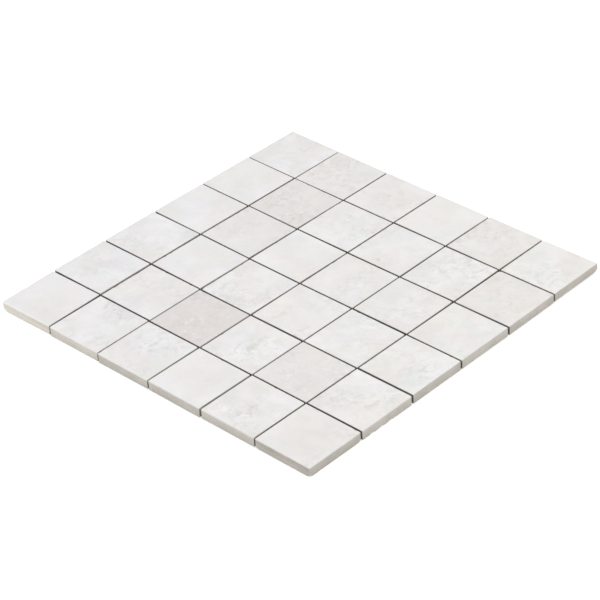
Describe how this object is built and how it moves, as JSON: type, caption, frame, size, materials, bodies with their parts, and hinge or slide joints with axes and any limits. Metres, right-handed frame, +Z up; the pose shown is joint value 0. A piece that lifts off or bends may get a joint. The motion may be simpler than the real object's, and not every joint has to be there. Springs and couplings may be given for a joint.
{
  "type": "porcelain mosaic tile sheet",
  "caption": "Mesh-mounted sheet of square porcelain floor and wall tiles with narrow open joints, an eased edge round each face and ribbed backs.",
  "frame": {"origin": "middle of the underside, on the surface that the sheet lies on", "axes": "+Z up out of the wear faces; +X and +Y along the rows and columns of tiles"},
  "size_m": [0.2993, 0.2996, 0.0079],
  "materials": {
    "porcelain": "satin",
    "mesh": "matte"
  },
  "bodies": {
    "root": {"chip_row1_col1": "porcelain", "chip_row2_col1": "porcelain", "chip_row3_col1": "porcelain", "chip_row4_col1": "porcelain", "chip_row5_col1": "porcelain", "chip_row6_col1": "porcelain", "chip_row1_col2": "porcelain", "chip_row2_col2": "porcelain", "chip_row3_col2": "porcelain", "chip_row4_col2": "porcelain", "chip_row5_col2": "porcelain", "chip_row6_col2": "porcelain", "chip_row1_col3": "porcelain", "chip_row2_col3": "porcelain", "chip_row3_col3": "porcelain", "chip_row4_col3": "porcelain", "chip_row5_col3": "porcelain", "chip_row6_col3": "porcelain", "chip_row1_col4": "porcelain", "chip_row2_col4": "porcelain", "chip_row3_col4": "porcelain", "chip_row4_col4": "porcelain", "chip_row5_col4": "porcelain", "chip_row6_col4": "porcelain", "chip_row1_col5": "porcelain", "chip_row2_col5": "porcelain", "chip_row3_col5": "porcelain", "chip_row4_col5": "porcelain", "chip_row5_col5": "porcelain", "chip_row6_col5": "porcelain", "chip_row1_col6": "porcelain", "chip_row2_col6": "porcelain", "chip_row3_col6": "porcelain", "chip_row4_col6": "porcelain", "chip_row5_col6": "porcelain", "chip_row6_col6": "porcelain", "mesh_warp": "mesh", "mesh_weft": "mesh"}
  },
  "joints": []
}
